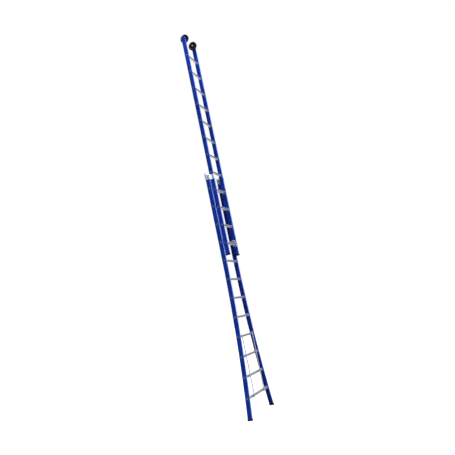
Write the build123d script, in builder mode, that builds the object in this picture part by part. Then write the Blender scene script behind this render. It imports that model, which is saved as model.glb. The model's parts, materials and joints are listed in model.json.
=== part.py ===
"""Two-section push-up extension ladder with a flared base and wall wheels.

Units are millimetres.  +Z runs up along the stiles, +X runs across the ladder
and +Y points to the wall, so the climber stands on the -Y side.  The origin is
the centre of the ladder's box in X and Y, at the soles of the feet.
"""
import math
import os

from build123d import *

# ---------------------------------------------------------------- dimensions
# Rungs
PITCH = 280.0            # distance from rung to rung
RUNG_COUNT = 12          # rungs in each section
RUNG_SIZE = 32.0         # outer side of the rounded square rung tube
RUNG_CORNER = 7.0
RUNG_WALL = 2.5
TREAD_GROOVES = 5        # grip grooves along the top of each rung
GROOVE_PITCH = 3.6
GROOVE_WIDTH = 1.6
GROOVE_DEPTH = 0.8

# Stiles
STILE_WIDTH = 26.0       # size of a stile across the ladder
LOWER_DEPTH = 72.0       # size of a lower stile from climber to wall
UPPER_DEPTH = 70.0
STILE_WALL = 2.0
STILE_CORNER = 9.0
LOWER_HALF = 228.0       # centre plane to the outer face, straight part
UPPER_HALF = 193.0
LOWER_TOP = 3570.0       # top end of the lower stiles
FLARE_TOP = 2270.0       # height where the lower stiles begin to curve outward
FLARE_RADIUS = 10450.0   # radius of the curved outer face

# Placing of the two sections
SECTION_OFFSET = 62.5    # distance between the sections' middle planes
LOWER_Y = 47.25          # middle plane of the lower section
UPPER_Y = LOWER_Y - SECTION_OFFSET
RAISED_BY = 8            # rungs by which the upper section is run out
HOOK_DROP = 20.0         # upper rungs sit this much below the lower rungs
UPPER_TOP = 5916.0
UPPER_BOTTOM = 2314.0

# Feet and end caps
FOOT_WALL = 2.5
FOOT_SOLE = 10.0
FOOT_HEIGHT = 26.0
CAP_WALL = 2.0
CAP_SOLE = 4.0
CAP_HEIGHT = 22.0

# Rung end plugs
PLUG_HEAD = 34.0
PLUG_HEAD_THICK = 2.0
PLUG_STEM = 18.0
PLUG_STEM_LENGTH = 9.0

# Guide brackets at the top of the lower section
BRACKET_SHEET = 3.0
BRACKET_BOTTOM = 3500.0
BRACKET_TOP = 3575.0
EYE_CENTRE_Z = 3590.0    # eyelet tab that stands above the stile head
EYE_OUTER = 19.0
EYE_HOLE = 8.0
EYE_OVERHANG = 5.0       # reach of the tab past the back of the stile
GUIDE_X = 197.0          # face that the upper stile runs along
GUIDE_LIP = 24.0
WEB_REACH = 24.0         # depth of the slanted web between the two plates

# Straight guide bars in the flared part
BAR_X = 205.0
BAR_WIDTH = 8.0
BAR_DEPTH = 12.0
BAR_STANDOFF = 6.0
BAR_RUNGS = 4
BAR_OVERRUN = 25.0
SADDLE_WIDTH = 14.0
SADDLE_HEIGHT = 24.0

# Rung hooks
HOOK_PLATE = 3.0         # riveted plate on the inner face of the upper stile
HOOK_THICK = 6.0
HOOK_GAP = 1.0           # side play between the plate and the hook
PIVOT_RADIUS = 5.0
PIVOT_FIT = 0.08
SEAT_GAP = 0.3           # play between the hook and the rung that carries it

# Wall wheels
WHEEL_Z = 5885.0
WHEEL_SETBACK = 2.0      # axle's distance in front of the stile's middle plane
WHEEL_RADIUS = 71.0
WHEEL_WIDTH = 34.0
TYRE_INNER = 52.0
AXLE_RADIUS = 6.0
AXLE_FIT = 0.08
WHEEL_GAP = 7.0          # spacer between the stile and the hub
STILE_TOP_RADIUS = 35.0

RIVET_STEM = 2.4
RIVET_HOLE = 2.5
RIVET_HEAD = 5.0
RIVET_HEAD_THICK = 2.0

# ------------------------------------------------------------ derived values
RUNG_HALF = RUNG_SIZE / 2
STILE_X = LOWER_HALF - STILE_WIDTH / 2
UPPER_STILE_X = UPPER_HALF - STILE_WIDTH / 2
UPPER_INNER = UPPER_HALF - STILE_WIDTH
LOWER_INNER = LOWER_HALF - STILE_WIDTH
LOWER_FRONT = LOWER_Y - LOWER_DEPTH / 2
LOWER_BACK = LOWER_Y + LOWER_DEPTH / 2
UPPER_FRONT = UPPER_Y - UPPER_DEPTH / 2
UPPER_BACK = UPPER_Y + UPPER_DEPTH / 2
AXLE_Y = UPPER_Y - WHEEL_SETBACK
ARC_CENTRE_X = LOWER_HALF + FLARE_RADIUS
ARC_MIDDLE = FLARE_RADIUS + STILE_WIDTH / 2
ARC_SWEEP = math.degrees(math.asin((FLARE_TOP + 40.0) / ARC_MIDDLE))
STILE_END = FOOT_SOLE
HOOK_RUNG_Z = (1 + RAISED_BY) * PITCH

lower_rung_z = [PITCH * (n + 1) for n in range(RUNG_COUNT)]
upper_rung_z = [z + RAISED_BY * PITCH - HOOK_DROP for z in lower_rung_z]

os.makedirs("parts", exist_ok=True)


def flare_angle(z):
    """Lean of the lower stile away from +Z at height z, in radians."""
    if z >= FLARE_TOP:
        return 0.0
    return math.asin((FLARE_TOP - z) / FLARE_RADIUS)


def outer_x(z):
    """Distance from the centre plane to a lower stile's outer face at z."""
    return LOWER_HALF + FLARE_RADIUS * (1 - math.cos(flare_angle(z)))


def outer_plane(side, x, y, z, angle):
    """Plane lying on a stile's outer face, its normal pointing outward."""
    normal = (side * math.cos(angle), 0, math.sin(angle))
    return Plane(origin=(side * x, y, z), x_dir=(0, 1, 0), z_dir=normal)


def save(piece, name):
    """Label a finished piece and write its STEP file."""
    piece.part.label = name
    export_step(piece.part, f"parts/{name}.step")


def save_mirrored(piece, name):
    """Write the same piece on the other side of the ladder."""
    with BuildPart() as twin:
        mirror(piece.part, about=Plane.YZ)
    save(twin, name)


def make_rung(y, z, reach, angle):
    """Hollow rung from stile to stile, its ends flush with the outer faces."""
    with BuildPart() as rung:
        with BuildSketch(Plane.YZ.offset(-reach - 20)):
            with Locations((y, z)):
                RectangleRounded(RUNG_SIZE, RUNG_SIZE, RUNG_CORNER)
                inner = RUNG_SIZE - 2 * RUNG_WALL
                RectangleRounded(inner, inner, RUNG_CORNER - RUNG_WALL, mode=Mode.SUBTRACT)
            for k in range(TREAD_GROOVES):
                groove_y = y + (k - (TREAD_GROOVES - 1) / 2) * GROOVE_PITCH
                with Locations((groove_y, z + RUNG_HALF)):
                    Rectangle(GROOVE_WIDTH, 2 * GROOVE_DEPTH, mode=Mode.SUBTRACT)
        extrude(amount=2 * (reach + 20))
        for side in (-1, 1):
            split(bisect_by=outer_plane(side, reach, y, z, angle), keep=Keep.BOTTOM)
    return rung


def make_plugs(y, places):
    """End plugs of one section; places holds (reach, z, lean) of each rung."""
    with BuildPart() as plugs:
        for reach, z, angle in places:
            for side in (-1, 1):
                face = outer_plane(side, reach, y, z, angle)
                with BuildSketch(face):
                    RectangleRounded(PLUG_HEAD, PLUG_HEAD, 8)
                extrude(amount=PLUG_HEAD_THICK)
                with BuildSketch(face):
                    RectangleRounded(PLUG_STEM, PLUG_STEM, 3)
                extrude(amount=-PLUG_STEM_LENGTH)
    return plugs


def make_rivets(places, direction, grip):
    """Round-head rivets: head on the given point, stem running back by grip."""
    with BuildPart() as rivets:
        for point in places:
            seat = Plane(origin=point, z_dir=direction)
            with BuildSketch(seat):
                Circle(RIVET_HEAD)
            extrude(amount=RIVET_HEAD_THICK)
            with BuildSketch(seat):
                Circle(RIVET_STEM)
            extrude(amount=-grip)
    return rivets


def make_drills(places, direction, depth, radius=RIVET_HOLE):
    """Round cutters that start a little above each point and run inward."""
    with BuildPart() as drills:
        for point in places:
            with BuildSketch(Plane(origin=point, z_dir=direction).offset(1.0)):
                Circle(radius)
            extrude(amount=-(depth + 1.0))
    return drills


# ----------------------------------------------------------- fastener places
side_rivets = [
    (LOWER_HALF + BRACKET_SHEET, LOWER_Y + dy, BRACKET_BOTTOM + dz)
    for dy, dz in ((-18, 18), (18, 18), (18, 54))
]
hook_rivets = [
    (UPPER_INNER - HOOK_PLATE, UPPER_Y + dy, HOOK_RUNG_Z + dz)
    for dy, dz in ((-20, -46), (18, -46), (-20, 22))
]
PIVOT_Y = UPPER_Y + 14.0
PIVOT_Z = HOOK_RUNG_Z + 30.0
pivot_point = [(UPPER_INNER, PIVOT_Y, PIVOT_Z)]

side_drills = make_drills(side_rivets, (1, 0, 0), BRACKET_SHEET + STILE_WALL + 2)
hook_drills = make_drills(hook_rivets, (-1, 0, 0), HOOK_PLATE + STILE_WALL + 2)
pivot_drill = make_drills(pivot_point, (-1, 0, 0), STILE_WALL + 2, PIVOT_RADIUS)

# -------------------------------------------------------------- lower stiles
with BuildPart() as lower_stile_right:
    with BuildLine(Plane.XZ.offset(-LOWER_Y)):
        straight = Line((STILE_X, LOWER_TOP), (STILE_X, FLARE_TOP))
        JernArc(straight @ 1, straight % 1, ARC_MIDDLE, ARC_SWEEP)
    with BuildSketch(Plane(origin=(STILE_X, LOWER_Y, LOWER_TOP), x_dir=(1, 0, 0), z_dir=(0, 0, -1))):
        RectangleRounded(STILE_WIDTH, LOWER_DEPTH, STILE_CORNER)
        RectangleRounded(
            STILE_WIDTH - 2 * STILE_WALL,
            LOWER_DEPTH - 2 * STILE_WALL,
            STILE_CORNER - STILE_WALL,
            mode=Mode.SUBTRACT,
        )
    sweep()
    split(bisect_by=Plane.XY.offset(STILE_END), keep=Keep.TOP)
    with BuildSketch(Plane.YZ):
        with Locations(*[(LOWER_Y, z) for z in lower_rung_z]):
            RectangleRounded(RUNG_SIZE, RUNG_SIZE, RUNG_CORNER)
    extrude(amount=outer_x(0) + 50, mode=Mode.SUBTRACT)
    add(side_drills.part, mode=Mode.SUBTRACT)

save(lower_stile_right, "lower_stile_right")
save_mirrored(lower_stile_right, "lower_stile_left")

# --------------------------------------------------------------- lower rungs
for number, z in enumerate(lower_rung_z, start=1):
    lower_rung = make_rung(LOWER_Y, z, outer_x(z), flare_angle(z))
    save(lower_rung, f"lower_rung_{number:02d}")

lower_rung_plugs = make_plugs(LOWER_Y, [(outer_x(z), z, flare_angle(z)) for z in lower_rung_z])
save(lower_rung_plugs, "lower_rung_plugs")

# ---------------------------------------------------------------------- feet
# Each foot follows the leaning end of its stile and stands flat on the ground.
foot_start = 180 + math.degrees(math.asin((FLARE_TOP - FOOT_HEIGHT - 20) / ARC_MIDDLE))
foot_arc = ARC_SWEEP + 180 - foot_start

with BuildPart() as foot_right:
    with BuildLine(Plane.XZ.offset(-LOWER_Y)):
        sole_path = CenterArc((ARC_CENTRE_X, FLARE_TOP), ARC_MIDDLE, foot_start, foot_arc)
    foot_end = Plane(
        origin=sole_path @ 0,
        x_dir=(0, 1, 0),
        z_dir=sole_path % 0,
    )
    with BuildSketch(foot_end):
        RectangleRounded(
            LOWER_DEPTH + 2 * FOOT_WALL, STILE_WIDTH + 2 * FOOT_WALL, STILE_CORNER + FOOT_WALL
        )
    sweep()
    split(bisect_by=Plane.XY, keep=Keep.TOP)
    split(bisect_by=Plane.XY.offset(FOOT_HEIGHT), keep=Keep.BOTTOM)
    with BuildLine(Plane.XZ.offset(-LOWER_Y)):
        socket_path = CenterArc((ARC_CENTRE_X, FLARE_TOP), ARC_MIDDLE, foot_start, foot_arc)
    with BuildSketch(foot_end):
        RectangleRounded(LOWER_DEPTH, STILE_WIDTH, STILE_CORNER)
    sweep(mode=Mode.SUBTRACT)
    with BuildLine(Plane.XZ.offset(-LOWER_Y)):
        plug_path = CenterArc((ARC_CENTRE_X, FLARE_TOP), ARC_MIDDLE, foot_start, foot_arc)
    with BuildSketch(foot_end):
        RectangleRounded(LOWER_DEPTH, STILE_WIDTH, STILE_CORNER)
    sole = sweep(mode=Mode.PRIVATE)
    sole = split(sole, bisect_by=Plane.XY, keep=Keep.TOP, mode=Mode.PRIVATE)
    sole = split(sole, bisect_by=Plane.XY.offset(FOOT_SOLE), keep=Keep.BOTTOM, mode=Mode.PRIVATE)
    add(sole)

save(foot_right, "foot_right")
save_mirrored(foot_right, "foot_left")

# -------------------------------------------------- top plugs, lower section
with BuildPart() as lower_top_plugs:
    for side in (-1, 1):
        with BuildSketch(Plane.XY.offset(LOWER_TOP)):
            with Locations((side * STILE_X, LOWER_Y)):
                RectangleRounded(STILE_WIDTH, LOWER_DEPTH, STILE_CORNER)
        extrude(amount=2)
        with BuildSketch(Plane.XY.offset(LOWER_TOP)):
            with Locations((side * STILE_X, LOWER_Y)):
                RectangleRounded(
                    STILE_WIDTH - 2 * STILE_WALL,
                    LOWER_DEPTH - 2 * STILE_WALL,
                    STILE_CORNER - STILE_WALL,
                )
        extrude(amount=-10)

save(lower_top_plugs, "lower_top_plugs")

# ------------------------------------------------------------ guide brackets
# A plate on each side of the lower stile's head with a strap over the top, a
# slanted web, a side plate along the upper stile and a lip over its front.
sheet = BRACKET_SHEET
lip_y = UPPER_FRONT - 3.0
strap_bottom = LOWER_TOP + 2.0

with BuildPart() as guide_bracket_right:
    with BuildSketch(Plane.XY.offset(BRACKET_BOTTOM)):
        with BuildLine():
            Polyline(
                (LOWER_HALF + sheet, LOWER_BACK),
                (LOWER_HALF + sheet, LOWER_FRONT),
                (GUIDE_X + sheet, LOWER_FRONT - WEB_REACH),
                (GUIDE_X + sheet, lip_y - sheet),
                (GUIDE_X + sheet - GUIDE_LIP, lip_y - sheet),
                (GUIDE_X + sheet - GUIDE_LIP, lip_y),
                (GUIDE_X, lip_y),
                (GUIDE_X, LOWER_FRONT + 1.5 - WEB_REACH),
                (LOWER_HALF, LOWER_FRONT + 1.5),
                (LOWER_HALF, LOWER_BACK),
                close=True,
            )
        make_face()
    extrude(amount=BRACKET_TOP - BRACKET_BOTTOM)
    with BuildSketch(Plane.XY.offset(BRACKET_BOTTOM)):
        with Locations((LOWER_INNER - sheet / 2, LOWER_Y)):
            Rectangle(sheet, LOWER_DEPTH - 8)
    extrude(amount=BRACKET_TOP - BRACKET_BOTTOM)
    with BuildSketch(Plane.XY.offset(strap_bottom)):
        with Locations((STILE_X, LOWER_Y)):
            Rectangle(STILE_WIDTH + 2 * sheet, LOWER_DEPTH - 8)
    extrude(amount=BRACKET_TOP - strap_bottom)
    # Eyelet tab on the outer plate, at the wall side
    eye_y = LOWER_BACK + EYE_OVERHANG - EYE_OUTER
    with BuildSketch(Plane.YZ.offset(LOWER_HALF)):
        with Locations((eye_y, EYE_CENTRE_Z)):
            Circle(EYE_OUTER)
        with Locations((eye_y, EYE_CENTRE_Z - 20)):
            Rectangle(2 * EYE_OUTER, 40)
        with Locations((eye_y, EYE_CENTRE_Z)):
            Circle(EYE_HOLE, mode=Mode.SUBTRACT)
    extrude(amount=sheet)
    add(side_drills.part, mode=Mode.SUBTRACT)
    lip_edges = guide_bracket_right.edges().filter_by(Axis.Z).filter_by_position(
        Axis.Y, lip_y - sheet - 0.5, lip_y - sheet + 0.5
    )
    fillet(lip_edges.sort_by(Axis.X)[-1:], 2.5)

save(guide_bracket_right, "guide_bracket_right")
save_mirrored(guide_bracket_right, "guide_bracket_left")

bracket_rivets_right = make_rivets(side_rivets, (1, 0, 0), BRACKET_SHEET + STILE_WALL + 1)

with BuildPart() as bracket_rivets:
    add(bracket_rivets_right.part)
    mirror(bracket_rivets_right.part, about=Plane.YZ)

save(bracket_rivets, "bracket_rivets")

# ---------------------------------------------------------------- guide bars
rung_front = LOWER_Y - RUNG_HALF
bar_y = rung_front - BAR_STANDOFF - BAR_DEPTH / 2
bar_bottom = PITCH - BAR_OVERRUN
bar_top = BAR_RUNGS * PITCH + BAR_OVERRUN
bar_rungs = [PITCH * (n + 1) for n in range(BAR_RUNGS)]
bar_rivets = [(BAR_X, bar_y - BAR_DEPTH / 2, z) for z in bar_rungs]
bar_drills = make_drills(bar_rivets, (0, -1, 0), BAR_DEPTH + BAR_STANDOFF + 2)

with BuildPart() as guide_bar_right:
    with BuildSketch(Plane.XY.offset(bar_bottom)):
        with Locations((BAR_X, bar_y)):
            Rectangle(BAR_WIDTH, BAR_DEPTH)
    extrude(amount=bar_top - bar_bottom)
    fillet(guide_bar_right.edges().filter_by(Axis.Z), 1.5)
    add(bar_drills.part, mode=Mode.SUBTRACT)

save(guide_bar_right, "guide_bar_right")
save_mirrored(guide_bar_right, "guide_bar_left")

with BuildPart() as saddles_right:
    for z in bar_rungs:
        with BuildSketch(Plane.XZ.offset(-rung_front)):
            with Locations((BAR_X, z)):
                RectangleRounded(SADDLE_WIDTH, SADDLE_HEIGHT, 3)
        extrude(amount=BAR_STANDOFF)
    add(bar_drills.part, mode=Mode.SUBTRACT)

with BuildPart() as guide_bar_saddles:
    add(saddles_right.part)
    mirror(saddles_right.part, about=Plane.YZ)

save(guide_bar_saddles, "guide_bar_saddles")

with BuildPart() as bar_rivets_right:
    for z in bar_rungs:
        with BuildSketch(Plane.XZ.offset(-bar_y + BAR_DEPTH / 2)):
            with Locations((BAR_X, z)):
                Circle(3.6)
        extrude(amount=1.5)
        with BuildSketch(Plane.XZ.offset(-bar_y + BAR_DEPTH / 2)):
            with Locations((BAR_X, z)):
                Circle(RIVET_STEM)
        extrude(amount=-(BAR_DEPTH + BAR_STANDOFF - 0.5))

with BuildPart() as guide_bar_rivets:
    add(bar_rivets_right.part)
    mirror(bar_rivets_right.part, about=Plane.YZ)

save(guide_bar_rivets, "guide_bar_rivets")

# -------------------------------------------------------------- upper stiles
TOP_CENTRE_Z = UPPER_TOP - STILE_TOP_RADIUS
STILE_START = UPPER_BOTTOM + CAP_SOLE

with BuildPart() as upper_stile_right:
    with BuildSketch(Plane.XY.offset(STILE_START)):
        with Locations((UPPER_STILE_X, UPPER_Y)):
            RectangleRounded(STILE_WIDTH, UPPER_DEPTH, STILE_CORNER)
            RectangleRounded(
                STILE_WIDTH - 2 * STILE_WALL,
                UPPER_DEPTH - 2 * STILE_WALL,
                STILE_CORNER - STILE_WALL,
                mode=Mode.SUBTRACT,
            )
    extrude(amount=UPPER_TOP - STILE_START)
    # The head of the stile is rounded from front to back.
    with BuildSketch(Plane.YZ.offset(UPPER_INNER - 5)):
        with Locations((UPPER_Y, TOP_CENTRE_Z + STILE_TOP_RADIUS / 2 + 5)):
            Rectangle(UPPER_DEPTH + 10, STILE_TOP_RADIUS + 10)
        with Locations((UPPER_Y, TOP_CENTRE_Z)):
            Circle(STILE_TOP_RADIUS, mode=Mode.SUBTRACT)
    extrude(amount=STILE_WIDTH + 10, mode=Mode.SUBTRACT)
    with BuildSketch(Plane.YZ):
        with Locations(*[(UPPER_Y, z) for z in upper_rung_z]):
            RectangleRounded(RUNG_SIZE, RUNG_SIZE, RUNG_CORNER)
        with Locations((AXLE_Y, WHEEL_Z)):
            Circle(AXLE_RADIUS)
    extrude(amount=UPPER_HALF + 5, mode=Mode.SUBTRACT)
    add(hook_drills.part, mode=Mode.SUBTRACT)
    add(pivot_drill.part, mode=Mode.SUBTRACT)

save(upper_stile_right, "upper_stile_right")
save_mirrored(upper_stile_right, "upper_stile_left")

# --------------------------------------------------------------- upper rungs
for number, z in enumerate(upper_rung_z, start=1):
    upper_rung = make_rung(UPPER_Y, z, UPPER_HALF, 0.0)
    save(upper_rung, f"upper_rung_{number:02d}")

upper_rung_plugs = make_plugs(UPPER_Y, [(UPPER_HALF, z, 0.0) for z in upper_rung_z])
save(upper_rung_plugs, "upper_rung_plugs")

# -------------------------------------------------- end caps, upper section
with BuildPart() as upper_end_caps:
    for side in (-1, 1):
        with BuildSketch(Plane.XY.offset(UPPER_BOTTOM)):
            with Locations((side * UPPER_STILE_X, UPPER_Y)):
                RectangleRounded(
                    STILE_WIDTH + 2 * CAP_WALL, UPPER_DEPTH + 2 * CAP_WALL, STILE_CORNER + CAP_WALL
                )
        extrude(amount=CAP_HEIGHT)
        with BuildSketch(Plane.XY.offset(UPPER_BOTTOM + CAP_SOLE)):
            with Locations((side * UPPER_STILE_X, UPPER_Y)):
                RectangleRounded(STILE_WIDTH, UPPER_DEPTH, STILE_CORNER)
        extrude(amount=CAP_HEIGHT, mode=Mode.SUBTRACT)

save(upper_end_caps, "upper_end_caps")

# ------------------------------------------------- head inserts and stop bolts
with BuildPart() as upper_head_inserts:
    for side in (-1, 1):
        with BuildSketch(Plane.XY.offset(TOP_CENTRE_Z - 35)):
            with Locations((side * UPPER_STILE_X, UPPER_Y)):
                RectangleRounded(
                    STILE_WIDTH - 2 * STILE_WALL,
                    UPPER_DEPTH - 2 * STILE_WALL,
                    STILE_CORNER - STILE_WALL,
                )
        extrude(amount=STILE_TOP_RADIUS + 35)
    with BuildSketch(Plane.YZ):
        with Locations((UPPER_Y, TOP_CENTRE_Z + STILE_TOP_RADIUS / 2 + 5)):
            Rectangle(UPPER_DEPTH + 10, STILE_TOP_RADIUS + 10)
        with Locations((UPPER_Y, TOP_CENTRE_Z)):
            Circle(STILE_TOP_RADIUS, mode=Mode.SUBTRACT)
        with Locations((AXLE_Y, WHEEL_Z)):
            Circle(AXLE_RADIUS)
    extrude(amount=UPPER_HALF + 5, both=True, mode=Mode.SUBTRACT)

save(upper_head_inserts, "upper_head_inserts")

with BuildPart() as stop_bolts:
    for side in (-1, 1):
        seat = outer_plane(side, UPPER_HALF, UPPER_Y, upper_rung_z[2] + 60, 0.0)
        with BuildSketch(seat):
            Circle(7)
        extrude(amount=5)
        top_face = stop_bolts.faces().sort_by(Axis.X)[-1 if side > 0 else 0]
        chamfer(top_face.edges(), 1.2)

save(stop_bolts, "stop_bolts")

# --------------------------------------------------------------- rung hooks
# Plate: riveted to the inner face of the upper stile, round its first rung,
# with a finger that reaches out in front of the lower rung.
plate_low = HOOK_RUNG_Z - 62.0
plate_high = HOOK_RUNG_Z + 44.0
finger_y = LOWER_Y - RUNG_HALF - 2.0

with BuildPart() as hook_plate_right:
    with BuildSketch(Plane.YZ.offset(UPPER_INNER - HOOK_PLATE)):
        with BuildLine():
            Polyline(
                (UPPER_Y - 28, plate_low + 12),
                (UPPER_Y - 16, plate_low),
                (UPPER_Y + 24, plate_low),
                (finger_y, HOOK_RUNG_Z - 34),
                (finger_y, HOOK_RUNG_Z + 22),
                (UPPER_Y + 28, plate_high - 10),
                (UPPER_Y + 18, plate_high),
                (UPPER_Y - 8, plate_high),
                (UPPER_Y - 28, plate_high - 18),
                close=True,
            )
        make_face()
        with Locations((UPPER_Y, upper_rung_z[0])):
            RectangleRounded(RUNG_SIZE, RUNG_SIZE, RUNG_CORNER, mode=Mode.SUBTRACT)
        with Locations((PIVOT_Y, PIVOT_Z)):
            Circle(PIVOT_RADIUS, mode=Mode.SUBTRACT)
    extrude(amount=HOOK_PLATE)
    add(hook_drills.part, mode=Mode.SUBTRACT)

save(hook_plate_right, "hook_plate_right")
save_mirrored(hook_plate_right, "hook_plate_left")

# Hook: swings on the pivot, its arm over the lower rung and its nose behind it.
arm_under = HOOK_RUNG_Z + RUNG_HALF + SEAT_GAP
nose_front = LOWER_Y + RUNG_HALF + SEAT_GAP + 0.7
hook_face = UPPER_INNER - HOOK_PLATE - HOOK_GAP

with BuildPart() as hook_right:
    with BuildSketch(Plane.YZ.offset(hook_face - HOOK_THICK)) as hook_shape:
        with BuildLine():
            Polyline(
                (PIVOT_Y - 12, PIVOT_Z + 12),
                (PIVOT_Y + 8, PIVOT_Z + 15),
                (nose_front - 4, arm_under + 17),
                (nose_front + 9, arm_under + 6),
                (nose_front + 9, arm_under - 26),
                (nose_front + 3, arm_under - 31),
                (nose_front, arm_under - 22),
                (nose_front, arm_under),
                (PIVOT_Y + 12, arm_under),
                (PIVOT_Y + 2, PIVOT_Z - 12),
                (PIVOT_Y - 12, PIVOT_Z - 9),
                close=True,
            )
        make_face()
        fillet(hook_shape.vertices(), 1.5)
        with Locations((PIVOT_Y, PIVOT_Z)):
            Circle(PIVOT_RADIUS + PIVOT_FIT, mode=Mode.SUBTRACT)
    extrude(amount=HOOK_THICK)

save(hook_right, "hook_right")
save_mirrored(hook_right, "hook_left")

with BuildPart() as hook_pins_right:
    # Shaft, spacing collar and head of the pivot pin
    pin_start = UPPER_INNER + STILE_WALL
    with BuildSketch(Plane.YZ.offset(hook_face - HOOK_THICK - 2)):
        with Locations((PIVOT_Y, PIVOT_Z)):
            Circle(PIVOT_RADIUS)
    extrude(amount=pin_start - (hook_face - HOOK_THICK - 2))
    with BuildSketch(Plane.YZ.offset(hook_face - HOOK_THICK - 3)):
        with Locations((PIVOT_Y, PIVOT_Z)):
            Circle(9)
    extrude(amount=2.7)
    with BuildSketch(Plane.YZ.offset(hook_face + 0.3)):
        with Locations((PIVOT_Y, PIVOT_Z)):
            Circle(8)
    extrude(amount=HOOK_GAP - 0.3)

with BuildPart() as hook_pins:
    add(hook_pins_right.part)
    mirror(hook_pins_right.part, about=Plane.YZ)

save(hook_pins, "hook_pins")

hook_rivets_right = make_rivets(hook_rivets, (-1, 0, 0), HOOK_PLATE + STILE_WALL + 1)

with BuildPart() as hook_plate_rivets:
    add(hook_rivets_right.part)
    mirror(hook_rivets_right.part, about=Plane.YZ)

save(hook_plate_rivets, "hook_plate_rivets")

# --------------------------------------------------------------- wall wheels
hub_outer = UPPER_INNER - WHEEL_GAP
hub_inner = hub_outer - WHEEL_WIDTH
hub_middle = (hub_outer + hub_inner) / 2

with BuildPart() as tyre_right:
    with BuildSketch(Plane.XZ.offset(-AXLE_Y)):
        with Locations((hub_middle, WHEEL_Z + (WHEEL_RADIUS + TYRE_INNER) / 2)):
            RectangleRounded(WHEEL_WIDTH, WHEEL_RADIUS - TYRE_INNER, 7)
        with Locations((hub_middle, WHEEL_Z + TYRE_INNER + 4)):
            Rectangle(WHEEL_WIDTH - 6, 8)
    revolve(axis=Axis((hub_middle, AXLE_Y, WHEEL_Z), (1, 0, 0)))

save(tyre_right, "wheel_tyre_right")
save_mirrored(tyre_right, "wheel_tyre_left")

with BuildPart() as wheel_hub_right:
    with BuildSketch(Plane.YZ.offset(hub_inner + 4)):
        with Locations((AXLE_Y, WHEEL_Z)):
            Circle(TYRE_INNER)
            Circle(AXLE_RADIUS + AXLE_FIT, mode=Mode.SUBTRACT)
    extrude(amount=WHEEL_WIDTH - 8)
    # Dished sides between the rim and the hub boss
    for start, amount in ((hub_inner + 4, 6), (hub_outer - 4, -6)):
        with BuildSketch(Plane.YZ.offset(start)):
            with Locations((AXLE_Y, WHEEL_Z)):
                Circle(TYRE_INNER - 6)
                Circle(18, mode=Mode.SUBTRACT)
        extrude(amount=amount, mode=Mode.SUBTRACT)
    for start, amount in ((hub_inner, 4), (hub_outer, -4)):
        with BuildSketch(Plane.YZ.offset(start)):
            with Locations((AXLE_Y, WHEEL_Z)):
                Circle(16)
                Circle(AXLE_RADIUS + AXLE_FIT, mode=Mode.SUBTRACT)
        extrude(amount=amount)

save(wheel_hub_right, "wheel_hub_right")
save_mirrored(wheel_hub_right, "wheel_hub_left")

with BuildPart() as axle_right:
    with BuildSketch(Plane.YZ.offset(hub_inner - 14)):
        with Locations((AXLE_Y, WHEEL_Z)):
            Circle(AXLE_RADIUS)
    extrude(amount=UPPER_HALF - hub_inner + 14)
    with BuildSketch(Plane.YZ.offset(UPPER_HALF)):
        with Locations((AXLE_Y, WHEEL_Z)):
            Circle(11)
    extrude(amount=5)
    chamfer(axle_right.faces().sort_by(Axis.X)[-1].edges(), 1.5)

with BuildPart() as wheel_axles:
    add(axle_right.part)
    mirror(axle_right.part, about=Plane.YZ)

save(wheel_axles, "wheel_axles")

with BuildPart() as nuts_right:
    with BuildSketch(Plane.YZ.offset(hub_inner - 12)):
        with Locations((AXLE_Y, WHEEL_Z)):
            RegularPolygon(11, 6)
            Circle(AXLE_RADIUS, mode=Mode.SUBTRACT)
    extrude(amount=10)
    # Washers: one under the nut, one between the hub and the stile
    for start, thick in ((hub_inner - 2, 1.7), (hub_outer + 0.3, WHEEL_GAP - 0.3)):
        with BuildSketch(Plane.YZ.offset(start)):
            with Locations((AXLE_Y, WHEEL_Z)):
                Circle(13)
                Circle(AXLE_RADIUS, mode=Mode.SUBTRACT)
        extrude(amount=thick)

with BuildPart() as wheel_nuts:
    add(nuts_right.part)
    mirror(nuts_right.part, about=Plane.YZ)

save(wheel_nuts, "wheel_nuts")
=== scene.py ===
import json
import math

import bmesh
import bpy
from mathutils import Matrix, Vector


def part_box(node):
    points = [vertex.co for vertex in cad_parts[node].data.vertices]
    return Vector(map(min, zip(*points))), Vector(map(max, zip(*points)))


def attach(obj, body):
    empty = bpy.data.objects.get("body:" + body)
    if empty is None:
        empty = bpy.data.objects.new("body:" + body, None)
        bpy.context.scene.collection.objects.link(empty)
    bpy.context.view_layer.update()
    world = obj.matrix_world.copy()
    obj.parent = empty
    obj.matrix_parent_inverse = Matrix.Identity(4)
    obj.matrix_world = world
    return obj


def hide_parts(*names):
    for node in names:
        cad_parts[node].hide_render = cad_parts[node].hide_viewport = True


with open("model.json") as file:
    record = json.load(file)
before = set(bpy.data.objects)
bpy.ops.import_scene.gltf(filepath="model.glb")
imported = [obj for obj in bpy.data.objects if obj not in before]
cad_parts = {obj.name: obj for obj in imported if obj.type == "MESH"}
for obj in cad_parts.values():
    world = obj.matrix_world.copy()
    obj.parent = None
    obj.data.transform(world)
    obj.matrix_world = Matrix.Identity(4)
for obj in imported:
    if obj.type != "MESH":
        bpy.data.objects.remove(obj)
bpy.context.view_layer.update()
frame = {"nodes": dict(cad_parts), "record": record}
scene = bpy.context.scene
scene.view_settings.view_transform = "Standard"

# ------------------------------------------------------------------- camera
camera_data = bpy.data.cameras.new("camera")
camera_data.sensor_width = 36.0
camera_data.lens = 40.73
camera_data.clip_end = 200.0
camera = bpy.data.objects.new("camera", camera_data)
scene.collection.objects.link(camera)
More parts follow.
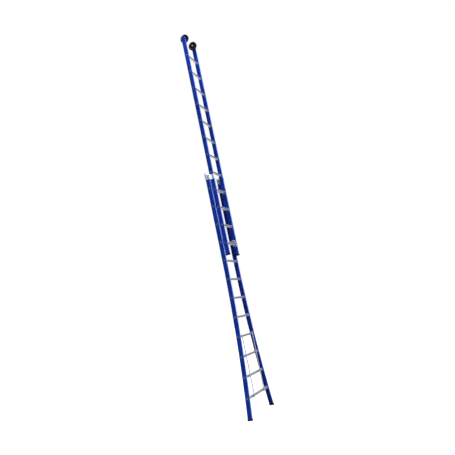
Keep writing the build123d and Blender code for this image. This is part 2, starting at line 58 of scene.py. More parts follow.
# Where the photograph was taken from, in the ladder's own upright frame
CAMERA_PLACE = (-7.21268, -2.87948, 1.40079)
CAMERA_RIGHT = Vector((0.39336, -0.89696, -0.20179))
CAMERA_DOWN = Vector((0.08048, 0.25224, -0.96431))
CAMERA_AHEAD = Vector((0.91585, 0.36309, 0.17140))
look = Matrix((CAMERA_RIGHT, -CAMERA_DOWN, -CAMERA_AHEAD)).transposed()
camera.matrix_world = Matrix.Translation(CAMERA_PLACE) @ look.to_4x4()
scene.camera = camera


# ---------------------------------------------------------------- materials
def node_tools(tree):
    """Short ways to add a node, set its inputs and link it."""
    def add(kind, **inputs):
        node = tree.nodes.new(kind)
        for key, value in inputs.items():
            node.inputs[key.replace("_", " ")].default_value = value
        return node
    return add, tree.links.new


def start_material(name):
    """A material with an empty tree but for its output and Principled node."""
    material = bpy.data.materials.new(name)
    material.use_nodes = True
    tree = material.node_tree
    tree.nodes.clear()
    add, link = node_tools(tree)
    out = add("ShaderNodeOutputMaterial")
    shader = add("ShaderNodeBsdfPrincipled")
    link(shader.outputs["BSDF"], out.inputs["Surface"])
    return material, add, link, shader


def object_noise(add, link, scale, detail, stretch=(1, 1, 1)):
    """Noise laid out in the object's own metres, stretched along an axis."""
    coords = add("ShaderNodeTexCoord")
    mapping = add("ShaderNodeMapping")
    mapping.inputs["Scale"].default_value = stretch
    link(coords.outputs["Object"], mapping.inputs["Vector"])
    noise = add("ShaderNodeTexNoise", Scale=scale, Detail=detail)
    link(mapping.outputs["Vector"], noise.inputs["Vector"])
    return noise.outputs["Fac"]


def two_tone(add, link, source, dark, light, spread):
    """Ramp from a dark colour to a light one, over the middle of a value's range."""
    node = add("ShaderNodeValToRGB")
    ends = ((0.5 - spread, dark), (0.5 + spread, light))
    for element, (position, colour) in zip(node.color_ramp.elements, ends):
        element.position = position
        element.color = (*colour, 1.0)
    link(source, node.inputs["Fac"])
    return node.outputs["Color"]


def between(add, link, source, low, high, to_low, to_high):
    """Value moved from one range to another, and held inside it."""
    node = add("ShaderNodeMapRange", From_Min=low, From_Max=high,
               To_Min=to_low, To_Max=to_high)
    link(source, node.inputs["Value"])
    return node.outputs["Result"]


def feed(link, socket, source):
    """Sets a socket to a number, or links it to another socket."""
    if isinstance(source, float):
        socket.default_value = source
    else:
        link(source, socket)


def mixed(add, link, fraction, a, b):
    """Mix of two values, by a number or by a third value."""
    node = add("ShaderNodeMix")
    node.data_type = "FLOAT"
    feed(link, node.inputs[0], fraction)
    feed(link, node.inputs[2], a)
    feed(link, node.inputs[3], b)
    return node.outputs[0]


def mixed_colour(add, link, fraction, socket, colour):
    """Mix of a colour socket with a fixed colour."""
    node = add("ShaderNodeMix")
    node.data_type = "RGBA"
    link(fraction, node.inputs[0])
    link(socket, node.inputs[6])
    node.inputs[7].default_value = (*colour, 1.0)
    return node.outputs[2]


def along_z(add, link, output):
    """Z of the object's own position or normal, or of its place in its box."""
    coords = add("ShaderNodeTexCoord")
    parts = add("ShaderNodeSeparateXYZ")
    link(coords.outputs[output], parts.inputs["Vector"])
    return parts.outputs["Z"]


def scaled(add, link, colour, factor):
    """Colour made lighter or darker by a value."""
    node = add("ShaderNodeVectorMath")
    node.operation = "SCALE"
    link(colour, node.inputs[0])
    link(factor, node.inputs["Scale"])
    return node.outputs["Vector"]


def relief(add, link, shader, layers):
    """Chained bumps: each layer is (height, strength, depth in metres)."""
    last = None
    for height, strength, depth in layers:
        node = add("ShaderNodeBump", Strength=strength, Distance=depth)
        link(height, node.inputs["Height"])
        if last:
            link(last, node.inputs["Normal"])
        last = node.outputs["Normal"]
    link(last, shader.inputs["Normal"])


def coated_metal(name, dark, light, worn, rough, along):
    """Glossy coating over an extrusion: die lines, orange peel, rub marks."""
    material, add, link, shader = start_material(name)
    shader.inputs["Coat Weight"].default_value = 0.80
    shader.inputs["Coat Roughness"].default_value = 0.20
    shader.inputs["Specular IOR Level"].default_value = 0.5
    lines = object_noise(add, link, scale=40.0, detail=5.0, stretch=along)
    cloud = object_noise(add, link, scale=9.0, detail=4.0)
    peel = object_noise(add, link, scale=700.0, detail=2.0)
    rubs = object_noise(add, link, scale=34.0, detail=8.0, stretch=tuple(3.0 * v for v in along))
    colour = two_tone(add, link, mixed(add, link, 0.5, lines, cloud), dark, light, spread=0.16)
    rubbed = between(add, link, rubs, low=0.66, high=0.74, to_low=0.0, to_high=0.55)
    colour = mixed_colour(add, link, rubbed, colour, worn)
    # Painted shade and painted light: the coat is darkened toward the ground and lightened toward the
    # ladder's top, for how light falls along it
    height = along_z(add, link, "Object")
    dull_patches_and_painted_shade = between(add, link, height, low=0.0, high=3.5, to_low=0.58, to_high=0.90)
    painted_top_light = between(add, link, height, low=4.7, high=5.6, to_low=1.0, to_high=1.45)
    colour = scaled(add, link, scaled(add, link, colour, dull_patches_and_painted_shade), painted_top_light)
    link(colour, shader.inputs["Base Color"])
    gloss = between(add, link, cloud, low=0.3, high=0.7, to_low=rough - 0.05, to_high=rough + 0.07)
    link(mixed(add, link, rubbed, gloss, rough + 0.25), shader.inputs["Roughness"])
    relief(add, link, shader, [(lines, 0.10, 0.0002), (peel, 0.10, 0.00005)])
    return material


def painted_tread_light_and_shade(add, link):
    """How light each part of a rung is.

    Painted light and shade: the top is painted lighter, and the upper part of the sides lighter than the
    lower part, which is painted darker.
    """
    level = add("ShaderNodeMath")
    level.operation = "ABSOLUTE"
    link(along_z(add, link, "Normal"), level.inputs[0])
    flat = between(add, link, level.outputs[0], low=0.35, high=0.90, to_low=0.0, to_high=1.0)
    side = between(add, link, along_z(add, link, "Generated"),
                   low=0.45, high=0.75, to_low=0.12, to_high=1.30)
    return mixed(add, link, flat, side, 1.2)


def bare_metal(name, dark, light, rough, metal, along, grime, painted_underside_light=None):
    """Satin aluminium or zinc plate: brushed lines, dulled patches, specks.

    Given an underside colour, the metal is a tread: its downward faces are painted that lighter colour, as
    painted light from below.
    """
    material, add, link, shader = start_material(name)
    shader.inputs["Metallic"].default_value = metal
    brush = object_noise(add, link, scale=90.0, detail=6.0, stretch=along)
    dull_patches_and_painted_shade = object_noise(add, link, scale=14.0, detail=5.0)
    specks = object_noise(add, link, scale=420.0, detail=2.0)
    colour = two_tone(add, link, mixed(add, link, 0.45, brush, dull_patches_and_painted_shade), dark, light, spread=0.18)
    dirt = between(add, link, specks, low=0.64, high=0.74, to_low=0.0, to_high=0.5)
    colour = mixed_colour(add, link, dirt, colour, grime)
    if painted_underside_light:
        # Painted light and shade: rung tops and upper sides lighter, lower sides darker
        colour = scaled(add, link, colour, painted_tread_light_and_shade(add, link))
        # Downward faces painted a lighter colour: painted light from below
        painted_underside_mask = between(add, link, along_z(add, link, "Normal"),
                        low=-0.60, high=-0.95, to_low=0.0, to_high=1.0)
        colour = mixed_colour(add, link, painted_underside_mask, colour, painted_underside_light)
    link(colour, shader.inputs["Base Color"])
    gloss = between(add, link, dull_patches_and_painted_shade, low=0.3, high=0.7, to_low=rough - 0.08, to_high=rough + 0.10)
    link(gloss, shader.inputs["Roughness"])
    relief(add, link, shader, [(brush, 0.35, 0.0002), (specks, 0.25, 0.0001)])
    return material


def moulded(name, dark, light, rough, grain, grain_depth, dust, shine=0.5):
    """Moulded plastic or rubber: fine grain, flow marks and a little dust."""
    material, add, link, shader = start_material(name)
    shader.inputs["Specular IOR Level"].default_value = shine
    fine = object_noise(add, link, scale=grain, detail=3.0)
    flow = object_noise(add, link, scale=30.0, detail=5.0)
    powder = object_noise(add, link, scale=120.0, detail=7.0)
    colour = two_tone(add, link, mixed(add, link, 0.5, fine, flow), dark, light, spread=0.16)
    dusty = between(add, link, powder, low=0.58, high=0.75, to_low=0.0, to_high=0.5)
    link(mixed_colour(add, link, dusty, colour, dust), shader.inputs["Base Color"])
    gloss = between(add, link, flow, low=0.3, high=0.7, to_low=rough - 0.07, to_high=rough + 0.09)
    link(gloss, shader.inputs["Roughness"])
    relief(add, link, shader, [(fine, 0.45, grain_depth), (flow, 0.15, 0.0003)])
    return material


# How far noise is stretched: short across a long part, long along it
ALONG_Z = (5, 5, 0.2)
ALONG_X = (0.2, 5, 5)
FINE_Z = (5, 5, 1)
EVEN = (1, 1, 1)
finish_of_slot = {
    "coated_stile": coated_metal(
        "blue_coat", dark=(0.0010, 0.034, 0.38), light=(0.0045, 0.060, 0.56),
        worn=(0.03, 0.12, 0.58), rough=0.28, along=ALONG_Z),
    "rung_metal": bare_metal(
        "rung_metal", dark=(0.066, 0.077, 0.122), light=(0.140, 0.162, 0.238), rough=0.45,
        metal=0.25, along=ALONG_X, grime=(0.20, 0.20, 0.22), painted_underside_light=(0.50, 0.54, 0.55)),
    "bar_metal": bare_metal(
        "bar_metal", dark=(0.36, 0.35, 0.40), light=(0.46, 0.45, 0.51), rough=0.45,
        metal=0.20, along=FINE_Z, grime=(0.24, 0.24, 0.27)),
    "bright_steel": bare_metal(
        "zinc_plate", dark=(0.50, 0.61, 0.76), light=(0.66, 0.78, 0.90), rough=0.48,
        metal=0.20, along=EVEN, grime=(0.36, 0.40, 0.46)),
    "cast_alloy": bare_metal(
        "cast_alloy", dark=(0.36, 0.39, 0.42), light=(0.52, 0.56, 0.60), rough=0.50,
        metal=0.20, along=EVEN, grime=(0.24, 0.25, 0.27)),
    "dark_fastener": bare_metal(
        "black_steel", dark=(0.008, 0.010, 0.020), light=(0.030, 0.034, 0.055), rough=0.35,
        metal=0.60, along=EVEN, grime=(0.05, 0.05, 0.05)),
    "rung_plug": moulded(
        "plug_plastic", dark=(0.045, 0.066, 0.070), light=(0.110, 0.140, 0.135), rough=0.50,
        grain=900.0, grain_depth=0.0001, dust=(0.14, 0.16, 0.14)),
    "black_rubber": moulded(
        "foot_rubber", dark=(0.0012, 0.0012, 0.0014), light=(0.0050, 0.0050, 0.0055), rough=0.65,
        grain=800.0, grain_depth=0.0002, dust=(0.008, 0.008, 0.009), shine=0.22),
    "wheel_rubber": moulded(
        "tyre_rubber", dark=(0.0012, 0.0012, 0.0014), light=(0.0045, 0.0045, 0.0050), rough=0.55,
        grain=700.0, grain_depth=0.0002, dust=(0.006, 0.007, 0.009), shine=0.22),
    "wheel_hub": moulded(
        "hub_plastic", dark=(0.0035, 0.0055, 0.0080), light=(0.0110, 0.0150, 0.0200), rough=0.34,
        grain=900.0, grain_depth=0.0001, dust=(0.02, 0.025, 0.03)),
    "insert_plastic": moulded(
        "blue_insert", dark=(0.0020, 0.045, 0.40), light=(0.0080, 0.075, 0.56), rough=0.40,
        grain=900.0, grain_depth=0.0001, dust=(0.03, 0.10, 0.50)),
}
slot_of_node = {s["node"]: s["material_slot"] for s in frame["record"]["subparts"]}
for name, obj in frame["nodes"].items():
    obj.data.materials.clear()
    obj.data.materials.append(finish_of_slot[slot_of_node[name]])

# ---------------------------------------------------- places, from the frame
# The lower stiles are straight above this height and curve outward below it
FLARE_TOP = 2.270
FLARE_RADIUS = 10.450
STILE_WALL = 0.002
STILE_CORNER = 0.009
stile_low, stile_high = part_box("upper_stile_right")
UPPER_INNER, UPPER_HALF = stile_low.x, stile_high.x
UPPER_Y = (stile_low.y + stile_high.y) / 2
UPPER_DEPTH = stile_high.y - stile_low.y
STILE_WIDTH = UPPER_HALF - UPPER_INNER
plug_low, plug_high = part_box("lower_top_plugs")
LOWER_HALF = plug_high.x
LOWER_Y = (plug_low.y + plug_high.y) / 2
LOWER_DEPTH = plug_high.y - plug_low.y
tyre_low, tyre_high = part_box("wheel_tyre_right")
WHEEL_X, AXLE_Y, WHEEL_Z = (tyre_low + tyre_high) / 2
WHEEL_RADIUS = (tyre_high.z - tyre_low.z) / 2
WHEEL_HALF = (tyre_high.x - tyre_low.x) / 2
rung_low, rung_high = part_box("upper_rung_01")
RUNG_SIZE = rung_high.z - rung_low.z
RUNGS = 12
SIDES = ((-1, "left"), (1, "right"))


def lean(z):
    """Lean of the lower stile at height z, in radians."""
    return math.asin((FLARE_TOP - z) / FLARE_RADIUS) if z < FLARE_TOP else 0.0


def stile_x(z, inset):
    """Distance from the centre plane to a surface that far inside the outer face."""
    if z >= FLARE_TOP:
        return LOWER_HALF - inset
    run = math.sqrt((FLARE_RADIUS + inset) ** 2 - (FLARE_TOP - z) ** 2)
    return LOWER_HALF + FLARE_RADIUS - run


def rung_centres(section):
    """(y, z) of each rung of a section, from the bottom up."""
    centres = []
    for number in range(1, RUNGS + 1):
        low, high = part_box(f"{section}_rung_{number:02d}")
        centres.append(((low.y + high.y) / 2, (low.z + high.z) / 2))
    return centres


# ------------------------------------------------------------- mesh builders
def rounded(width, height, radius, steps=4):
    """Points of a rounded rectangle round the origin, anticlockwise."""
    points = []
    for sx, sy, start in ((1, 1, 0), (-1, 1, 90), (-1, -1, 180), (1, -1, 270)):
        for k in range(steps + 1):
            a = math.radians(start + 90 * k / steps)
            points.append((sx * (width / 2 - radius) + radius * math.cos(a),
                           sy * (height / 2 - radius) + radius * math.sin(a)))
    return points


def circle(radius, steps):
    """Points of a circle round the origin, anticlockwise."""
    turns = [math.tau * k / steps for k in range(steps)]
    return [(radius * math.cos(a), radius * math.sin(a)) for a in turns]


def hexagon(corner, limit, steps=48):
    """Hexagon of that corner radius, its corners cut back to a round limit."""
    points = []
    for k in range(steps):
        a = math.tau * k / steps
        flat = corner * math.cos(math.pi / 6) / math.cos((a % (math.pi / 3)) - math.pi / 6)
        reach = min(flat, limit)
        points.append((reach * math.cos(a), reach * math.sin(a)))
    return points


def at(outline, z):
    """The outline's points lifted to a height."""
    return [(x, y, z) for x, y in outline]


def loft(bm, loops, place=Matrix(), ring=False):
    """Skin over loops of equally many points, closed by end faces.

    With ring, the last loop is joined to the first one instead.
    """
    rows = [[bm.verts.new(place @ Vector(point)) for point in loop] for loop in loops]
    if ring:
        rows.append(rows[0])
    else:
        bm.faces.new(rows[0][::-1])
        bm.faces.new(rows[-1])
    count = len(rows[0])
    for a, b in zip(rows, rows[1:]):
        for k in range(count):
            bm.faces.new((a[k], a[(k + 1) % count], b[(k + 1) % count], b[k]))


def turned(bm, profile, place, steps=32, ring=False):
    """Turned shape: profile holds (radius, height) from one end to the other."""
    loft(bm, [at(circle(r, steps), z) for r, z in profile], place, ring=ring)


def facing(origin, outward):
    """Placing whose z axis points outward and whose x axis runs with +Y or +X."""
    z = Vector(outward).normalized()
    guide = Vector((0, 1, 0)) if abs(z.y) < 0.9 else Vector((1, 0, 0))
    x = (guide - z * guide.dot(z)).normalized()
    place = Matrix((x, z.cross(x), z)).transposed().to_4x4()
    place.translation = Vector(origin)
    return place


def piece(name, bm, body, slot, *nodes, sharp=32.0):
    """Makes the piece, gives it its finish and lets it ride on its body."""
    bmesh.ops.recalc_face_normals(bm, faces=bm.faces)
    mesh = bpy.data.meshes.new(name)
    bm.to_mesh(mesh)
    bm.free()
    mesh.materials.append(finish_of_slot[slot])
    mesh.shade_smooth()
    mesh.set_sharp_from_angle(angle=math.radians(sharp))
    obj = bpy.data.objects.new(name, mesh)
    scene.collection.objects.link(obj)
    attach(obj, body)
    if nodes:
        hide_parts(*nodes)
    return obj


# ------------------------------------------------------------- lower stiles
FLARE_STEPS = 60
CORNER_STEPS = 8


def stile_loop(side, z, inset):
    """Level loop round the lower stile's section, that far inside its surface."""
    outer, inner = stile_x(z, inset), stile_x(z, STILE_WIDTH - inset)
    outline = rounded(outer - inner, LOWER_DEPTH - 2 * inset, STILE_CORNER - inset, CORNER_STEPS)
    return [(side * (outer + inner) / 2 + x, LOWER_Y + y, z) for x, y in outline]


for side, label in SIDES:
    end_low, end_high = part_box(f"lower_stile_{label}")
    flare = FLARE_TOP - end_low.z
    heights = [end_high.z] + [FLARE_TOP - flare * k / FLARE_STEPS for k in range(FLARE_STEPS + 1)]
    loops = [stile_loop(side, z, 0.0) for z in heights]
    loops += [stile_loop(side, z, STILE_WALL) for z in reversed(heights)]
    bm = bmesh.new()
    loft(bm, loops, ring=True)
    piece(f"curved_stile_{label}", bm, "lower_section", "coated_stile", f"lower_stile_{label}")


# ------------------------------------------------- rung end plugs and collars
# (side of the square, height above the stile), in mm, from the stile outward
PLUG_ROWS = ((34.0, 0.0), (34.0, 1.1), (33.2, 1.7), (31.8, 2.0), (28.0, 2.0),
             (26.8, 1.3), (24.0, 1.0), (14.0, 1.3), (4.0, 1.4))
PLUG_CORNER = 0.27
# (growth over the rung, height above the stile), in mm, round the bead
COLLAR_ROWS = ((0.0, -0.6), (0.0, 2.2), (0.8, 3.0), (2.6, 3.0), (5.0, 1.9), (6.6, 0.4), (6.8, -0.6))
COLLAR_CORNER = 0.0075
COLLAR_GAP = 0.0006


def add_plug(bm, place):
    """Square plug head with a rounded rim and a dished middle."""
    loft(bm, [at(rounded(s / 1000, s / 1000, s * PLUG_CORNER / 1000), z / 1000)
              for s, z in PLUG_ROWS], place)


def add_collar(bm, place, size):
    """Swaged bead round a rung where it comes through the stile's inner wall."""
    loft(bm, [at(rounded(size + g / 1000, size + g / 1000, COLLAR_CORNER + g / 2600), z / 1000)
              for g, z in COLLAR_ROWS], place, ring=True)


for section, body in (("lower", "lower_section"), ("upper", "upper_section")):
    plugs, collars = bmesh.new(), bmesh.new()
    for index, (y, z) in enumerate(rung_centres(section)):
        tilt = lean(z) if section == "lower" else 0.0
        outer = stile_x(z, 0.0) if section == "lower" else UPPER_HALF
        inner = stile_x(z, STILE_WIDTH) if section == "lower" else UPPER_INNER
        for side in (-1, 1):
            normal = Vector((side * math.cos(tilt), 0, math.sin(tilt)))
            add_plug(plugs, facing((side * outer, y, z), normal))
            # The hook plates take the place of the collars on the upper section's first rung
            if section == "lower" or index > 0:
                add_collar(collars, facing((side * inner, y, z), -normal), RUNG_SIZE + COLLAR_GAP)
    piece(f"{section}_plug_heads", plugs, body, "rung_plug", f"{section}_rung_plugs")
    piece(f"{section}_rung_collars", collars, body, "bar_metal")


# ---------------------------------------------------- feet and lower end caps
BOOT_CORNER = 0.0112
TREAD_FILL = 0.62
TREAD_CORNER = 0.0012


def boot_loops(centre_of, width, depth, rows):
    """Horizontal loops of a ribbed rubber boot; rows holds (height, growth) in mm."""
    loops = []
    for height, grow in rows:
        z = height / 1000
        cx, cy = centre_of(z)
        outline = rounded(width + grow / 500, depth + grow / 500, BOOT_CORNER + grow / 1200)
        loops.append([(cx + x, cy + y, z) for x, y in outline])
    return loops


def ribs(first, last, pitch, depth):
    """Rows of a ribbed wall: flush bands with shallow grooves between them."""
    rows, z = [], first
    while z + pitch < last:
        rows += [(z, 0.0), (z + pitch * 0.50, 0.0),
                 (z + pitch * 0.62, -depth), (z + pitch * 0.90, -depth)]
        z += pitch
    return rows + [(z, 0.0)]


def add_treads(bm, centre, width, depth, z_low, z_high, count):
    """Bars across the sole, with gaps between them."""
    pitch = depth / count
    for k in range(count):
        y = centre[1] - depth / 2 + (k + 0.5) * pitch
        loops = []
        for inset, z in ((0.6, z_low), (0.0, z_low + 0.0006), (0.0, z_high)):
            outline = rounded(width - inset / 500, pitch * TREAD_FILL - inset / 500, TREAD_CORNER, 2)
            loops.append([(centre[0] + px, y + py, z) for px, py in outline])
        loft(bm, loops)


FOOT_GROWTH = 0.005
FOOT_SOLE = [(1.6, -1.2), (2.2, -0.3), (3.0, 0.0)]
FOOT_MOUTH = [(24.6, 0.0), (25.6, -0.5), (26.0, -1.4), (26.0, -2.3), (24.5, -2.5)]
foot_width = (STILE_WIDTH + FOOT_GROWTH) / math.cos(lean(0.0))
foot_depth = LOWER_DEPTH + FOOT_GROWTH
middle = STILE_WIDTH / 2
for side, label in SIDES:
    bm = bmesh.new()
    rows = FOOT_SOLE + ribs(4.5, 22.0, pitch=3.4, depth=0.9) + FOOT_MOUTH
    loft(bm, boot_loops(lambda z: (side * stile_x(z, middle), LOWER_Y), foot_width, foot_depth, rows))
    add_treads(bm, (side * stile_x(0.0, middle), LOWER_Y), foot_width - 0.004, foot_depth - 0.004,
               z_low=0.0, z_high=0.002, count=8)
    piece(f"foot_boot_{label}", bm, "lower_section", "black_rubber", f"foot_{label}")

CAP_GROWTH = 0.004
CAP_SOLE = [(1.4, -1.2), (2.0, -0.3), (2.8, 0.0)]
CAP_MOUTH = [(20.9, 0.0), (21.7, -0.5), (22.0, -1.2), (22.0, -1.8), (20.5, -2.0)]
bm = bmesh.new()
cap_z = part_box("upper_end_caps")[0].z
for side in (-1, 1):
    rows = CAP_SOLE + ribs(4.0, 18.5, pitch=3.2, depth=0.8) + CAP_MOUTH
    rows = [(cap_z * 1000 + height, grow) for height, grow in rows]
    middle_x = side * (UPPER_INNER + STILE_WIDTH / 2)
    loft(bm, boot_loops(lambda z: (middle_x, UPPER_Y),
                        STILE_WIDTH + CAP_GROWTH, UPPER_DEPTH + CAP_GROWTH, rows))
    add_treads(bm, (middle_x, UPPER_Y), STILE_WIDTH, UPPER_DEPTH,
               z_low=cap_z, z_high=cap_z + 0.0018, count=7)
piece("end_cap_boots", bm, "upper_section", "black_rubber", "upper_end_caps")


# --------------------------------------------------------------- wall wheels
TYRE_STEPS = 192
NOTCH_PITCH = 6
NOTCH_DEPTH = 0.0014
# Half of the tyre's section: (radius, distance from its middle plane, 1 where notched)
TYRE_ROWS = [(0.0520, WHEEL_HALF - 0.0022, 0), (0.0540, WHEEL_HALF - 0.0008, 0), (0.0560, WHEEL_HALF, 0),
             (WHEEL_RADIUS - 0.0085, WHEEL_HALF, 0), (WHEEL_RADIUS - 0.0058, WHEEL_HALF - 0.0008, 1),
             (WHEEL_RADIUS - 0.0030, WHEEL_HALF - 0.0030, 1), (WHEEL_RADIUS - 0.0010, WHEEL_HALF - 0.0062, 1),
             (WHEEL_RADIUS - 0.0002, WHEEL_HALF - 0.0085, 0), (WHEEL_RADIUS, WHEEL_HALF - 0.0095, 0),
             (WHEEL_RADIUS, 0.0036, 0), (WHEEL_RADIUS - 0.0020, 0.0028, 0), (WHEEL_RADIUS - 0.0022, 0.0, 0)]


def add_tyre(bm, place):
    """Tyre with rounded shoulders, a centre groove and staggered edge notches."""
    rows = [(radius, -x, 1, cut) for radius, x, cut in TYRE_ROWS]
    rows += [(radius, x, 0, cut) for radius, x, cut in reversed(TYRE_ROWS[:-1])]
    loops = []
    for radius, x, phase, cut in rows:
        loop = []
        for k in range(TYRE_STEPS):
            notch = NOTCH_DEPTH if cut and (k + 2 * phase) % NOTCH_PITCH in (0, 1) else 0.0
            a = math.tau * k / TYRE_STEPS
            loop.append(((radius - notch) * math.cos(a), (radius - notch) * math.sin(a), x))
        loops.append(loop)
    loft(bm, loops, place, ring=True)


# Half of the hub's section, from its bore outward: (radius, distance from its middle plane)
HUB_ROWS = [(0.0061, 0.0162), (0.0070, 0.0170), (0.0148, 0.0170), (0.0159, 0.0160), (0.0163, 0.0130),
            (0.0175, 0.0048), (0.0195, 0.0036), (0.0425, 0.0036), (0.0447, 0.0048), (0.0455, 0.0118),
            (0.0467, 0.0129), (0.0508, 0.0129), (0.0520, 0.0120)]
HUB_RIBS = 8
RIB_FOOT = 0.0030
RIB_WIDTH = 0.0034
RIB_CORNER = 0.0010
# (distance from the axle, height of the rib's top over the middle plane)
RIB_ROWS = ((0.0150, 0.0125), (0.0250, 0.0112), (0.0350, 0.0104), (0.0460, 0.0100))


def add_hub(bm, place):
    """Hub: bored boss, thin web, rim, and ribs on either side."""
    profile = [(r, -x) for r, x in HUB_ROWS] + [(r, x) for r, x in reversed(HUB_ROWS)]
    turned(bm, profile, place, steps=96, ring=True)
    for k in range(HUB_RIBS):
        turn = Matrix.Rotation(math.tau * k / HUB_RIBS, 4, "Z")
        for face in (-1, 1):
            loops = []
            for reach, top in RIB_ROWS:
                height = top - RIB_FOOT
                outline = rounded(height, RIB_WIDTH, RIB_CORNER, 3)
                loops.append([(reach, y, face * (RIB_FOOT + height / 2 + x)) for x, y in outline])
            loft(bm, loops, place @ turn)


for side, label in SIDES:
    place = facing((side * WHEEL_X, AXLE_Y, WHEEL_Z), (side, 0, 0))
    body = f"wall_wheel_{label}"
    tyre = bmesh.new()
    add_tyre(tyre, place)
    piece(f"tyre_{label}", tyre, body, "wheel_rubber", f"wheel_tyre_{label}")
    hub = bmesh.new()
    add_hub(hub, place)
    piece(f"hub_{label}", hub, body, "wheel_hub", f"wheel_hub_{label}")

SCREW_STEPS = 48
hub_inner = WHEEL_X - WHEEL_HALF
hub_outer = WHEEL_X + WHEEL_HALF
# Chamfered tip and shaft, by distance from the centre plane
SHAFT_ROWS = [(0.0042, hub_inner - 0.014), (0.0060, hub_inner - 0.0125), (0.0060, UPPER_HALF)]
# Round head with a turned rim and a socket: (radius, height above the stile)
HEAD_ROWS = [(0.0108, 0.0), (0.0110, 0.0006), (0.0110, 0.0024), (0.0100, 0.0038), (0.0080, 0.0047),
             (0.0050, 0.0050), (0.0043, 0.0048), (0.0041, 0.0020), (0.0005, 0.0016)]
# Lock nut: round insert end, then the hexagon with its corners turned off
NUT_START = hub_inner - 0.012
NUT_ROUND = [(0.0068, 0.0), (0.0082, 0.0004), (0.0086, 0.0016)]
NUT_CORNER = 0.011
NUT_HEX = [(0.0090, 0.0020), (0.0103, 0.0024), (0.0110, 0.0030), (0.0110, 0.0093), (0.0104, 0.0100)]
# Washer inside the wheel and spacer outside it: (inner end, outer end, radius)
SPACERS = [(hub_inner - 0.002, hub_inner - 0.0003, 0.0130), (hub_outer + 0.0003, UPPER_INNER, 0.0115)]
EDGE_IN, EDGE_UP = 0.0004, 0.0003

bolts, nuts = bmesh.new(), bmesh.new()
for side in (-1, 1):
    place = facing((0, AXLE_Y, WHEEL_Z), (side, 0, 0))
    turned(bolts, SHAFT_ROWS + [(r, UPPER_HALF + z) for r, z in HEAD_ROWS], place, SCREW_STEPS)
    loft(nuts, [at(circle(r, SCREW_STEPS), NUT_START + z) for r, z in NUT_ROUND]
         + [at(hexagon(NUT_CORNER, limit), NUT_START + z) for limit, z in NUT_HEX], place)
    for inner_end, outer_end, radius in SPACERS:
        turned(nuts, [(radius - EDGE_IN, inner_end), (radius, inner_end + EDGE_UP),
                      (radius, outer_end - EDGE_UP), (radius - EDGE_IN, outer_end)], place, SCREW_STEPS)
piece("axle_bolts", bolts, "upper_section", "dark_fastener", "wheel_axles")
piece("axle_nuts", nuts, "upper_section", "bright_steel", "wheel_nuts")


# ----------------------------------------------------------- rivets and bolts
# (radius, height) in mm, from the rim to the sunk mandrel
RIVET_ROWS = ((5.0, 0.0), (5.0, 0.4), (4.7, 1.0), (3.8, 1.55), (2.6, 1.9), (1.6, 1.95),
              (1.3, 1.5), (1.1, 1.2), (0.5, 1.3))
RIVET_HALF = 0.005
PLATE_THICKNESS = 0.003
BAR_RIVET_SCALE = 0.72
# Rivets in front of the stile's middle and behind it
BRACKET_FRONT, BRACKET_BACK = -0.018, 0.018
PLATE_FRONT, PLATE_BACK = -0.020, 0.018


def add_rivet(bm, place, scale=1.0):
    """Blind rivet head: low dome with the broken mandrel sunk in its middle."""
    turned(bm, [(r * scale / 1000, z * scale / 1000) for r, z in RIVET_ROWS], place, steps=28)


bracket_low, bracket_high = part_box("bracket_rivets")
bm = bmesh.new()
for side in (-1, 1):
    for dy, z in ((BRACKET_FRONT, bracket_low.z + RIVET_HALF), (BRACKET_BACK, bracket_low.z + RIVET_HALF),
                  (BRACKET_BACK, bracket_high.z - RIVET_HALF)):
        add_rivet(bm, facing((side * (LOWER_HALF + PLATE_THICKNESS), LOWER_Y + dy, z), (side, 0, 0)))
piece("bracket_rivet_heads", bm, "lower_section", "bright_steel", "bracket_rivets")

plate_low, plate_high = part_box("hook_plate_rivets")
bm = bmesh.new()
for side in (-1, 1):
    for dy, z in ((PLATE_FRONT, plate_low.z + RIVET_HALF), (PLATE_BACK, plate_low.z + RIVET_HALF),
                  (PLATE_FRONT, plate_high.z - RIVET_HALF)):
        add_rivet(bm, facing((side * (UPPER_INNER - PLATE_THICKNESS), UPPER_Y + dy, z), (-side, 0, 0)))
piece("hook_plate_rivet_heads", bm, "upper_section", "bright_steel", "hook_plate_rivets")

bar_low, bar_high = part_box("guide_bar_right")
bm = bmesh.new()
for side in (-1, 1):
    for y, z in rung_centres("lower")[:4]:
        spot = (side * (bar_low.x + bar_high.x) / 2, bar_low.y, z)
        add_rivet(bm, facing(spot, (0, -1, 0)), BAR_RIVET_SCALE)
piece("bar_rivet_heads", bm, "lower_section", "dark_fastener", "guide_bar_rivets")

bolt_low, bolt_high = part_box("stop_bolts")
# Washer, then the hexagon with its corners turned off
STOP_WASHER = ((0.0070, 0.0), (0.0070, 0.0008), (0.0067, 0.0011))
STOP_CORNER = 0.0066
STOP_HEX = ((0.0062, 0.0011), (0.0066, 0.0015), (0.0066, 0.0043), (0.0060, 0.0050), (0.0030, 0.0049))
bm = bmesh.new()
for side in (-1, 1):
    place = facing((side * UPPER_HALF, UPPER_Y, (bolt_low.z + bolt_high.z) / 2), (side, 0, 0))
    loft(bm, [at(circle(r, SCREW_STEPS), z) for r, z in STOP_WASHER]
         + [at(hexagon(STOP_CORNER, limit), z) for limit, z in STOP_HEX], place)
piece("stop_bolt_heads", bm, "upper_section", "dark_fastener", "stop_bolts")

# Pressed and cut edges of the small hardware are broken, not knife sharp
BROKEN_EDGES = ("guide_bracket_left", "guide_bracket_right", "hook_left", "hook_right",
                "hook_plate_left", "hook_plate_right", "guide_bar_saddles", "lower_top_plugs",
                "upper_head_inserts", "hook_pins")
for name in BROKEN_EDGES:
    weld = frame["nodes"][name].modifiers.new("weld", "WELD")
    weld.merge_threshold = 0.00001
    bevel = frame["nodes"][name].modifiers.new("broken_edges", "BEVEL")
    bevel.width = 0.0006
    bevel.segments = 2
    bevel.limit_method = "ANGLE"
    bevel.angle_limit = math.radians(50)

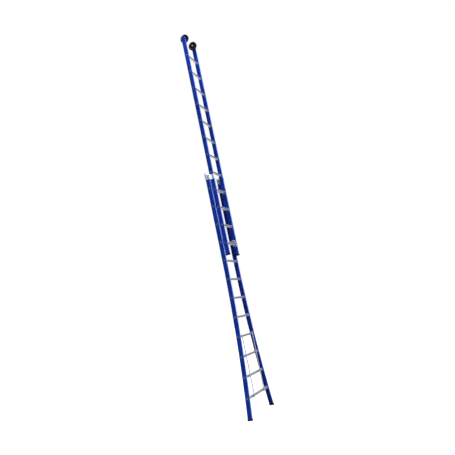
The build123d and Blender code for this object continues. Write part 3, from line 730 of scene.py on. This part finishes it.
# -------------------------------------------------------------------- floor
# Pale and glowing to the camera; it neither lights the ladder nor reflects in it
bpy.ops.mesh.primitive_plane_add(size=120.0, location=(0, 0, -0.0005))
floor = bpy.context.object
floor.name = "floor"
material, add, link, shader = start_material("pale_floor")
shader.inputs["Roughness"].default_value = 0.9
speckle = object_noise(add, link, scale=40.0, detail=4.0)
pale = two_tone(add, link, speckle, (0.20, 0.20, 0.20), (0.22, 0.22, 0.22), spread=0.2)
link(pale, shader.inputs["Base Color"])
shader.inputs["Emission Color"].default_value = (1, 1, 1, 1)
shader.inputs["Emission Strength"].default_value = 0.80
clear = add("ShaderNodeBsdfTransparent")
seen = add("ShaderNodeLightPath")
mix = add("ShaderNodeMixShader")
link(seen.outputs["Is Camera Ray"], mix.inputs["Fac"])
link(clear.outputs["BSDF"], mix.inputs[1])
link(shader.outputs["BSDF"], mix.inputs[2])
link(mix.outputs["Shader"], material.node_tree.nodes["Material Output"].inputs["Surface"])
floor.data.materials.append(material)

# -------------------------------------------------------------------- light
world = bpy.data.worlds.new("studio")
scene.world = world
world.use_nodes = True
tree = world.node_tree
tree.nodes.clear()
add, link = node_tools(tree)
direction = add("ShaderNodeTexCoord")

# Soft glows of the studio: direction, cosine where each starts and is full, strength
GLOWS = (((0.60, -0.20, -0.77), 0.35, 1.0, 3.0),
         ((0.95, -0.30, 0.05), 0.45, 0.95, 1.2),
         ((-0.16, -0.97, 0.10), 0.74, 1.0, 6.0),
         ((0.30, 0.55, 0.78), 0.60, 1.0, 2.6))
AMBIENT = 0.03
KEY_DIRECTION = (-0.24, -0.12, 0.96)


def lobe(toward, low, high, strength):
    """A broad soft glow of the studio round one direction."""
    dot = add("ShaderNodeVectorMath")
    dot.operation = "DOT_PRODUCT"
    dot.inputs[1].default_value = Vector(toward).normalized()
    link(direction.outputs["Generated"], dot.inputs[0])
    spread = add("ShaderNodeMapRange")
    spread.interpolation_type = "SMOOTHSTEP"
    spread.inputs["From Min"].default_value = low
    spread.inputs["From Max"].default_value = high
    spread.inputs["To Max"].default_value = strength
    link(dot.outputs["Value"], spread.inputs["Value"])
    return spread.outputs["Result"]


def plus(a, b):
    """Sum of a value and another one, or a number."""
    node = add("ShaderNodeMath")
    node.operation = "ADD"
    feed(link, node.inputs[0], a)
    feed(link, node.inputs[1], b)
    return node.outputs[0]


glow = lobe(*GLOWS[0])
for settings in GLOWS[1:]:
    glow = plus(glow, lobe(*settings))
studio = add("ShaderNodeBackground")
link(plus(glow, AMBIENT), studio.inputs["Strength"])
backdrop = add("ShaderNodeBackground", Strength=1.0)
backdrop.inputs["Color"].default_value = (1, 1, 1, 1)
seen = add("ShaderNodeLightPath")
mix = add("ShaderNodeMixShader")
link(seen.outputs["Is Camera Ray"], mix.inputs["Fac"])
link(studio.outputs["Background"], mix.inputs[1])
link(backdrop.outputs["Background"], mix.inputs[2])
out = add("ShaderNodeOutputWorld")
link(mix.outputs["Shader"], out.inputs["Surface"])

key_data = bpy.data.lights.new("key", "SUN")
key_data.energy = 3.9
key_data.angle = math.radians(25)
key = bpy.data.objects.new("key", key_data)
key.rotation_euler = Vector(KEY_DIRECTION).to_track_quat("Z", "Y").to_euler()
scene.collection.objects.link(key)
